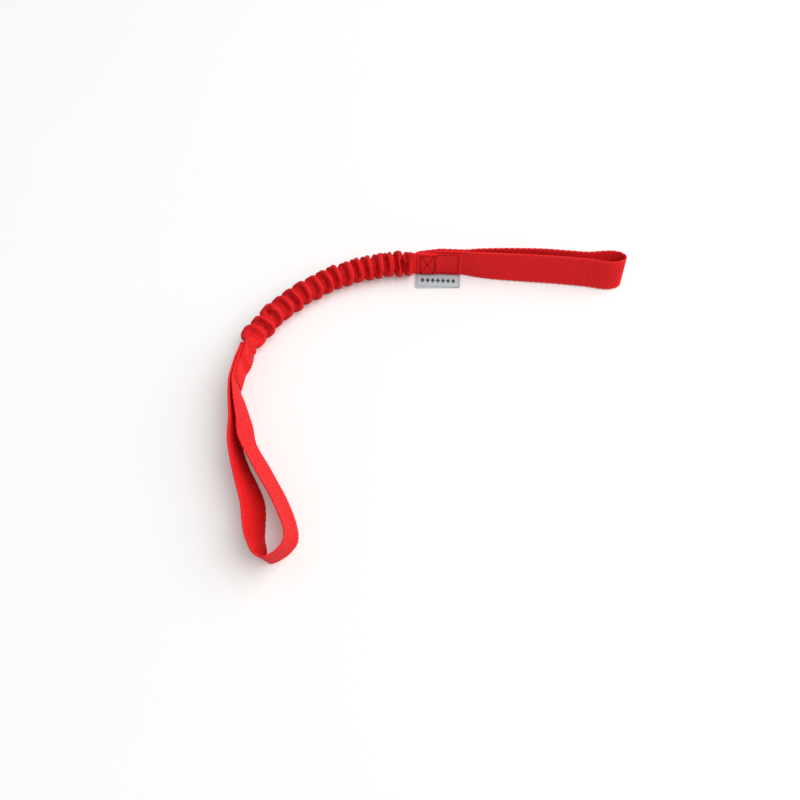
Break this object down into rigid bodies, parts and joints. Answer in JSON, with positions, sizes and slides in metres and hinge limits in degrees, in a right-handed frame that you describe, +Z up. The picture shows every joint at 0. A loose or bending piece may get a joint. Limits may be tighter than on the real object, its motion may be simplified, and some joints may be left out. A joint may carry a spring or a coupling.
{
  "type": "bungee tug toy",
  "caption": "Soft tug toy for a dog: a hand loop and a far loop of ribbed webbing, joined by a sleeve of webbing that is gathered in pleats over an elastic cord.",
  "frame": {"origin": "middle of the toy's outline on the floor that it lies on", "axes": "+Z up from the floor, +X along the hand loop towards its tip, +Y away from the side on which the label lies"},
  "size_m": [0.311, 0.2648, 0.025],
  "materials": {
    "webbing": "ribbed nylon webbing, soft sheen",
    "thread": "dull twisted thread",
    "rubber": "matt elastic cord",
    "label_cloth": "smooth woven label cloth"
  },
  "bodies": {
    "hand_loop": {"hand_loop_webbing": "webbing", "hand_cross_upper_thread": "thread", "hand_box_upper_thread": "thread", "hand_cross_lower_thread": "thread", "hand_box_lower_thread": "thread"},
    "label": {"woven_label": "label_cloth"},
    "bungee": {"gathered_sleeve": "webbing"},
    "bungee_far_end": {"elastic_core": "rubber"},
    "far_loop": {"far_loop_webbing": "webbing", "far_cross_upper_thread": "thread", "far_box_upper_thread": "thread", "far_cross_lower_thread": "thread", "far_box_lower_thread": "thread"}
  },
  "joints": [
    {"name": "label_flap", "type": "hinge", "parent": "hand_loop", "child": "label", "pos_m": [0.00216, 0.11678, 0.00035], "axis": [-0.9986, 0.0523, 0], "range_deg": [0, 80], "deforming": ["woven_label"]},
    {"name": "bungee_swing", "type": "hinge", "parent": "hand_loop", "child": "bungee", "pos_m": [-0.01885, 0.12286, 0], "axis": [0, 0, 1], "range_deg": [-90, 60]},
    {"name": "bungee_stretch", "type": "slide", "parent": "bungee", "child": "bungee_far_end", "axis": [-0.8363, -0.5483, 0], "range_m": [0, 0.13], "stiffness_N_per_m": 400, "deforming": ["gathered_sleeve", "elastic_core"]},
    {"name": "far_loop_swing", "type": "hinge", "parent": "bungee_far_end", "child": "far_loop", "pos_m": [-0.14644, 0.0392, 0], "axis": [0, 0, 1], "range_deg": [-90, 60]}
  ]
}
